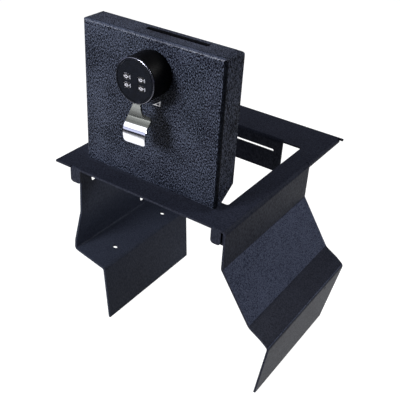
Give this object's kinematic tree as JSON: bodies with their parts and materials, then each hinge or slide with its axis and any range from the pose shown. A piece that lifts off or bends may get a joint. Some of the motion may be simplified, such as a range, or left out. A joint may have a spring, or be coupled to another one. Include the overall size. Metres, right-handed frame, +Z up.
{
  "type": "console safe",
  "caption": "Folded steel safe insert for a vehicle's centre console: rim with side walls, a steel lid hinged to stand upright, and a round dial lock with a thumb lever and cam.",
  "frame": {"origin": "under the middle of the bounding box, at the height of the feet", "axes": "+Z up, +X along the hinge towards the wall folded from the rim, -Y the way the open lid's face looks"},
  "size_m": [0.3184, 0.3024, 0.3874],
  "materials": {
    "frame_paint": "fine-textured blue-black powder coat",
    "door_paint": "coarse-textured blue-black powder coat",
    "lock_black": "smooth satin black",
    "face_paint": "dark grey satin",
    "bezel_paint": "dark grey with a polished bevel",
    "chrome": "polished",
    "zinc": "bright zinc plate",
    "dial_plastic": "matt black with white digits"
  },
  "bodies": {
    "frame": {"console_frame": "frame_paint", "left_side_panel": "frame_paint", "panel_nut_1": "zinc", "panel_nut_2": "zinc", "panel_nut_3": "zinc", "hinge_bracket_left": "zinc", "hinge_bracket_right": "zinc", "hinge_pin_left": "zinc", "hinge_pin_right": "zinc", "pin_clip_left": "zinc", "pin_clip_right": "zinc"},
    "door": {"door_pan": "door_paint", "hinge_arm_left": "zinc", "hinge_arm_right": "zinc", "arm_nut_left_1": "zinc", "arm_nut_left_2": "zinc", "arm_nut_right_1": "zinc", "arm_nut_right_2": "zinc", "lock_sleeve": "lock_black", "lock_washer": "zinc", "lock_nut": "zinc"},
    "knob": {"knob_housing": "lock_black", "bezel_ring": "bezel_paint", "dial_face": "face_paint", "thumb_lever": "chrome", "spindle": "zinc", "cam_plate": "zinc", "cam_washer": "zinc", "cam_bolt": "zinc", "dial_axle_left": "zinc", "dial_axle_right": "zinc"},
    "blocking_pin": {"blocking_pin": "zinc"},
    "dial_1": {"dial_wheel_1": "dial_plastic"},
    "dial_2": {"dial_wheel_2": "dial_plastic"},
    "dial_3": {"dial_wheel_3": "dial_plastic"},
    "dial_4": {"dial_wheel_4": "dial_plastic"}
  },
  "joints": [
    {"name": "door_hinge", "type": "hinge", "parent": "frame", "child": "door", "pos_m": [-0.03353, -0.10069, 0.1973], "axis": [-1, 0, 0], "range_deg": [0, 90]},
    {"name": "knob_turn", "type": "hinge", "parent": "door", "child": "knob", "pos_m": [-0.02838, -0.11439, 0.3498], "axis": [0, -1, 0], "range_deg": [0, 87]},
    {"name": "pin_slide", "type": "slide", "parent": "knob", "child": "blocking_pin", "axis": [0, 1, 0], "range_m": [0, 0.0017]},
    {"name": "dial_1_turn", "type": "hinge", "parent": "knob", "child": "dial_1", "pos_m": [-0.03844, -0.13949, 0.35268], "axis": [-0.0523, 0, 0.9986], "continuous": true},
    {"name": "dial_2_turn", "type": "hinge", "parent": "knob", "child": "dial_2", "pos_m": [-0.03795, -0.13949, 0.34329], "axis": [-0.0523, 0, 0.9986], "continuous": true},
    {"name": "dial_3_turn", "type": "hinge", "parent": "knob", "child": "dial_3", "pos_m": [-0.01937, -0.13949, 0.35368], "axis": [-0.0523, 0, 0.9986], "continuous": true},
    {"name": "dial_4_turn", "type": "hinge", "parent": "knob", "child": "dial_4", "pos_m": [-0.01887, -0.13949, 0.34429], "axis": [-0.0523, 0, 0.9986], "continuous": true}
  ]
}
